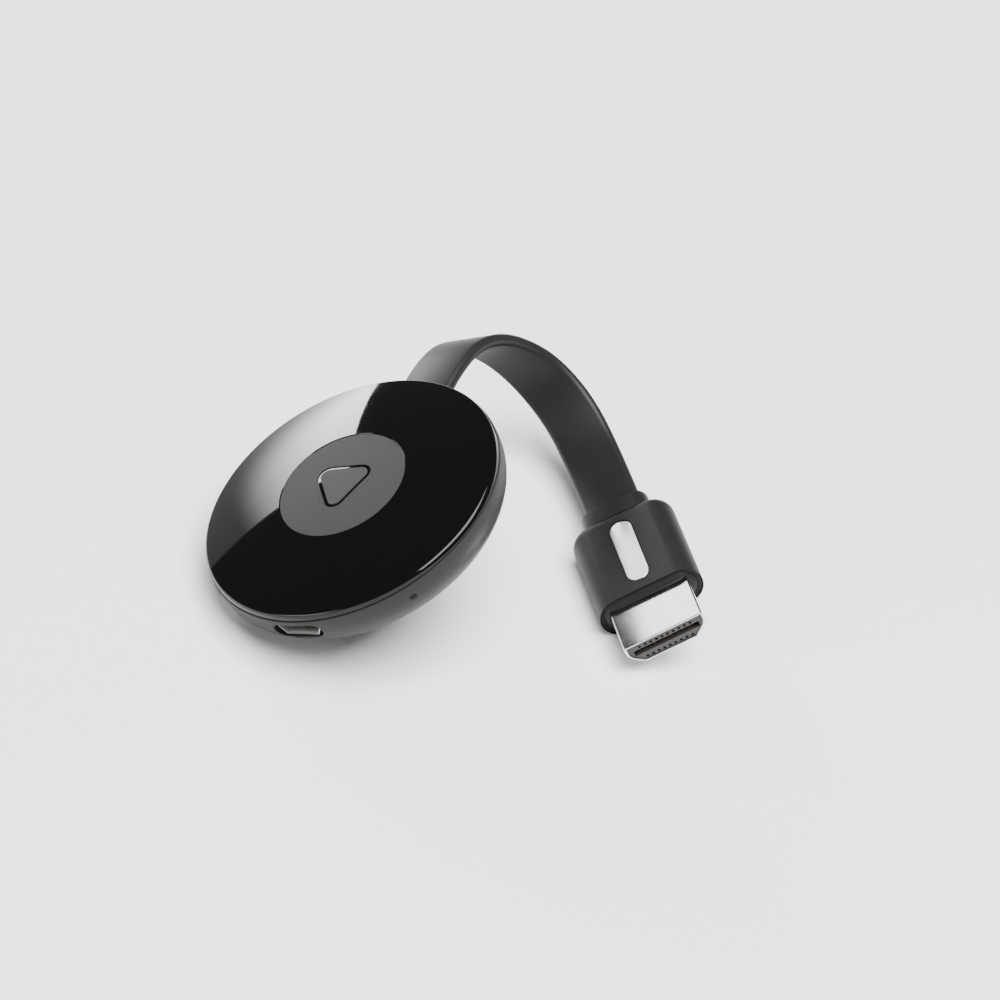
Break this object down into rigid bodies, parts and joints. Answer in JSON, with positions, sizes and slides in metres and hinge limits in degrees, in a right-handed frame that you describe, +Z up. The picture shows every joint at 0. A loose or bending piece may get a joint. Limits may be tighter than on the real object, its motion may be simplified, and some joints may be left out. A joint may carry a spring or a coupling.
{
  "type": "streaming media player",
  "caption": "Round puck-shaped streaming media player with a domed glossy face, matte inlay and a short flat captive lead ending in a video plug.",
  "frame": {"origin": "on the table, below the middle of the puck's own bounding box, the puck standing as it leans on its rim", "axes": "+Z up from the table, -Y the way the plug points, and the puck's glossy face tilted back towards -X by 29.5 degrees from level"},
  "size_m": [0.079, 0.0665, 0.0314],
  "materials": {
    "gloss_black": "high gloss",
    "housing_grey": "fine satin texture",
    "inlay_matte": "matte, fine grain",
    "inlay_light": "matte, fine grain",
    "board_mask": "solder mask",
    "chip_black": "moulded, matte",
    "thermal_pad": "soft matte",
    "tinned_sheet": "tinned, dull",
    "spreader_aluminium": "rolled",
    "magnet_nickel": "nickel plated",
    "screw_steel": "zinc plated",
    "satin_steel": "satin, brushed along its length",
    "bright_nickel": "bright nickel plate",
    "contact_gold": "gold flashed",
    "insulator_black": "moulded",
    "lead_rubber": "smooth matte",
    "overmould": "soft matte",
    "button_plastic": "satin",
    "ivory_plastic": "moulded",
    "clear_pipe": "clear, end diffused",
    "tail_amber": "polyimide film",
    "antenna_steel": "stamped, tin plated"
  },
  "bodies": {
    "puck": {"lower_housing": "housing_grey", "top_cover": "gloss_black", "emblem_ring": "inlay_matte", "emblem_triangle": "inlay_light", "main_board": "board_mask", "board_screws": "screw_steel", "media_processor": "chip_black", "processor_pad": "thermal_pad", "memory_chip": "chip_black", "flash_chip": "chip_black", "wireless_chip": "chip_black", "power_chip": "chip_black", "shield_frame": "tinned_sheet", "shield_can": "tinned_sheet", "spreader_pad": "thermal_pad", "heat_spreader": "spreader_aluminium", "antenna_long": "antenna_steel", "antenna_short": "antenna_steel", "back_magnet": "magnet_nickel", "magnet_clip": "tinned_sheet", "cable_connector": "ivory_plastic", "cable_tail": "tail_amber", "cable_grommet": "overmould", "port_shell": "bright_nickel", "port_tongue": "insulator_black", "port_contacts": "contact_gold", "reset_switch": "ivory_plastic", "status_led": "ivory_plastic", "light_pipe": "clear_pipe", "ribbon_cable": "lead_rubber"},
    "button": {"reset_button": "button_plastic"},
    "plug": {"plug_collar": "overmould", "plug_housing": "overmould", "plug_plate": "satin_steel", "plug_can": "tinned_sheet", "plug_board": "board_mask", "plug_shell": "bright_nickel", "plug_insulator": "insulator_black", "plug_contacts": "contact_gold"}
  },
  "joints": [
    {"name": "button_press", "type": "slide", "parent": "puck", "child": "button", "axis": [0.867, 0.0872, 0.4905], "range_m": [0, 0.00035], "stiffness_N_per_m": 1500, "springref_m": -0.0001},
    {"name": "plug_flex", "type": "hinge", "parent": "puck", "child": "plug", "pos_m": [0.0355, 0.0282, 0.0152], "axis": [0, 0, 1], "range_deg": [-20, 35], "deforming": ["ribbon_cable"]}
  ]
}
